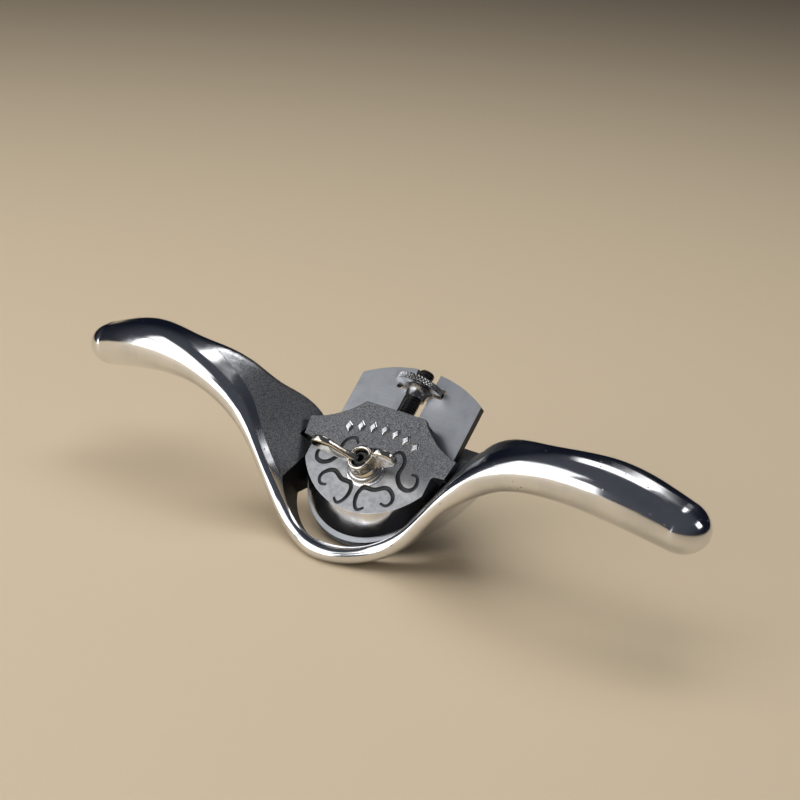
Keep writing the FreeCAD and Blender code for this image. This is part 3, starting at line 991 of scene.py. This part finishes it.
def cast_cap():
    """The cap's casting: granular above, rubbed smoother towards the edge."""
    made, tree, shader, place = new_finish("cast_cap", 1.0)
    up_the_cap = put(tree, "SeparateXYZ", Vector=place).outputs["Y"]
    ragged = combine_numbers(tree, "MULTIPLY", noise(tree, place, 0.25, 3.0), 9.0)
    upper = spread(tree, combine_numbers(tree, "ADD", up_the_cap, ragged), 27.0, 38.0)
    height, tone = blasted_parts(tree, place)
    granular = mix_colours(tree, tone, (0.08, 0.081, 0.088), (0.36, 0.363, 0.375))
    satin = mix_colours(tree, spread(tree, noise(tree, place, 0.5, 4.0), 0.3, 0.7),
                        (0.34, 0.345, 0.36), (0.46, 0.465, 0.48))
    connect(tree, mix_colours(tree, upper, satin, granular), shader.inputs["Base Color"])
    connect(tree, mix_numbers(tree, upper, 0.40, 0.48), shader.inputs["Roughness"])
    depth = mix_numbers(tree, upper, 0.012, 0.07)
    connect(tree, relief(tree, combine_numbers(tree, "MULTIPLY", height, depth), 1.0),
            shader.inputs["Normal"])
    return made


def cap_nose():
    """The cap's polished bevel, with fine marks along it."""
    made, tree, shader, place = new_finish("cap_nose", 1.0)
    wear(tree, shader, place, (0.72, 0.72, 0.74), (0.52, 0.53, 0.56), 0.14, 0.26)
    lines = noise(tree, place, 1.0, 3.0, (0.08, 3.0, 3.0))
    connect(tree, relief(tree, lines, 0.012), shader.inputs["Normal"])
    return made


def bright_rim():
    """Rubbed bright edges and raised parts of the cap."""
    return worn_metal("bright_rim", 1.0, (0.78, 0.78, 0.79), (0.45, 0.45, 0.47), 0.16, 0.34, 1.6, 0.03)


def engraving():
    """Dark grooves of the cap's scrolls."""
    return worn_metal("engraving", 0.3, (0.02, 0.02, 0.022), (0.08, 0.08, 0.085), 0.5, 0.7, 2.0, 0.05)


def blade_steel():
    """Ground steel with fine lines across the blade."""
    made, tree, shader, place = new_finish("blade_steel", 1.0)
    lines = noise(tree, place, 1.0, 4.0, (0.05, 6.0, 1.0), 0.7)
    shade = spread(tree, lines, 0.3, 0.7)
    stain = spread(tree, noise(tree, place, 0.12, 5.0), 0.45, 0.75)
    ground = mix_colours(tree, shade, (0.46, 0.48, 0.51), (0.56, 0.575, 0.60))
    connect(tree, mix_colours(tree, stain, ground, (0.42, 0.435, 0.46)), shader.inputs["Base Color"])
    connect(tree, mix_numbers(tree, stain, 0.40, 0.45), shader.inputs["Roughness"])
    connect(tree, relief(tree, lines, 0.016), shader.inputs["Normal"])
    return made


def blade_side_painted_shade():
    """The blade's unground sides, painted near-black: painted shade for the dark shadow they mirror."""
    return worn_metal("blade_side_painted_shade", 0.7, (0.022, 0.023, 0.026), (0.07, 0.07, 0.075), 0.38, 0.55,
                      1.8, 0.03)


def nut_nickel():
    """Warm nickel, worn and slightly tarnished."""
    made, tree, shader, place = new_finish("nut_nickel", 1.0)
    wear(tree, shader, place, (0.78, 0.74, 0.66), (0.50, 0.45, 0.38), 0.14, 0.30)
    dents = combine_numbers(tree, "ADD", noise(tree, place, 0.35, 2.0), combine_numbers(
        tree, "MULTIPLY", noise(tree, place, 2.2, 3.0), 0.10))
    connect(tree, relief(tree, dents, 0.16), shader.inputs["Normal"])
    return made


def black_screw():
    """Blackened screws."""
    return worn_metal("black_screw", 0.75, (0.028, 0.028, 0.032), (0.075, 0.07, 0.065), 0.28, 0.5,
                      3.0, 0.02)


def bright_steel():
    """Bare turned steel of the adjuster wheel, darkened by age."""
    return worn_metal("bright_steel", 1.0, (0.44, 0.44, 0.45), (0.20, 0.20, 0.21), 0.2, 0.34, 1.8, 0.02)


finishes = {make.__name__: make() for make in (
    cast_body, cast_bed, cast_wall_painted_shade, cast_cap, cap_nose, bright_rim, engraving, blade_steel, blade_side_painted_shade,
    nut_nickel, black_screw, bright_steel)}

body_casting()
blade()
cap_iron()
wing_nut()
cap_stud()
adjuster_stud()
adjuster_wheel()


# ---------------------------------------------------------------- stage

def make_floor():
    """A plain pale floor under the tool."""
    size = 4.0
    mesh = bpy.data.meshes.new("floor")
    z = cad_low.z
    mesh.from_pydata(
        [(-size, -size, z), (size, -size, z), (size, size, z), (-size, size, z)], [], [(0, 1, 2, 3)]
    )
    floor = bpy.data.objects.new("floor", mesh)
    bpy.context.scene.collection.objects.link(floor)
    made = bpy.data.materials.new("floor_finish")
    made.use_nodes = True
    shader = made.node_tree.nodes["Principled BSDF"]
    shader.inputs["Base Color"].default_value = (0.64, 0.52, 0.36, 1.0)
    shader.inputs["Roughness"].default_value = 0.6
    give(floor, made)


def area_light(name, direction, width, height, power, distance=1.1):
    """A softbox that faces the tool from a direction. Metres and watts."""
    light = bpy.data.lights.new(name, "AREA")
    light.shape = "RECTANGLE"
    light.size = width
    light.size_y = height
    light.energy = power
    obj = bpy.data.objects.new(name, light)
    bpy.context.scene.collection.objects.link(obj)
    towards = Vector(direction).normalized()
    centre = (cad_low + cad_high) / 2
    obj.location = centre + towards * distance
    obj.rotation_mode = "QUATERNION"
    obj.rotation_quaternion = towards.to_track_quat("Z", "Y")
    return obj


def studio_walls():
    """A dark room behind the tool under a pale grey ceiling."""
    world = bpy.data.worlds.new("studio")
    world.use_nodes = True
    tree = world.node_tree
    direction = put(tree, "TexCoord").outputs["Generated"]
    lean = put(tree, "VectorMath", {"operation": "DOT_PRODUCT"})
    tree.links.new(direction, lean.inputs[0])
    lean.inputs[1].default_value = (0.0, -0.6, 0.8)
    share = spread(tree, lean.outputs["Value"], -0.15, 0.9)
    colour = mix_colours(tree, share, (0.006, 0.008, 0.015), (0.065, 0.07, 0.085))
    tree.links.new(colour, tree.nodes["Background"].inputs["Color"])
    return world


def make_lights():
    """Dim softboxes that the metal mirrors, a light for the floor, and the dark room."""
    area_light("front_softbox", (-0.52, -0.80, 0.20), width=1.3, height=0.62, power=7.0)
    area_light("upper_softbox", (-0.52, -0.58, 0.63), width=1.0, height=0.42, power=1.9)
    area_light("top_softbox", (-0.07, 0.45, 0.89), width=0.60, height=0.55, power=2.0)
    area_light("right_softbox", (0.80, 0.25, 0.48), width=0.45, height=0.30, power=0.9)
    # This one lights the floor only: the polished metal does not mirror it.
    floor_light = area_light("floor_light", (-0.2, -0.1, 1.0), width=1.4, height=1.4, power=13.0,
                             distance=1.3)
    floor_light.visible_glossy = False
    bpy.context.scene.world = studio_walls()


def make_camera():
    """The viewing direction, as turns about the tool, and the point the picture is centred on."""
    azimuth = math.radians(34.17)
    elevation = math.radians(20.87)
    roll = math.radians(3.71)
    distance = 0.5965
    aim = Vector((8.4, 20.0, 51.0)) * MM
    forward = Vector((-math.sin(azimuth) * math.cos(elevation),
                      math.cos(azimuth) * math.cos(elevation), -math.sin(elevation)))
    flat_right = Vector((math.cos(azimuth), math.sin(azimuth), 0.0))
    flat_up = flat_right.cross(forward)
    right = flat_right * math.cos(roll) + flat_up * math.sin(roll)
    up = right.cross(forward)
    data = bpy.data.cameras.new("camera")
    data.lens = 74.7
    data.sensor_width = 36.0
    camera = bpy.data.objects.new("camera", data)
    bpy.context.scene.collection.objects.link(camera)
    camera.matrix_world = Matrix.Translation(aim - forward * distance) @ Matrix(
        (right, up, -forward)).transposed().to_4x4()
    bpy.context.scene.camera = camera


make_floor()
make_lights()
make_camera()
bpy.context.scene.view_settings.view_transform = "Standard"
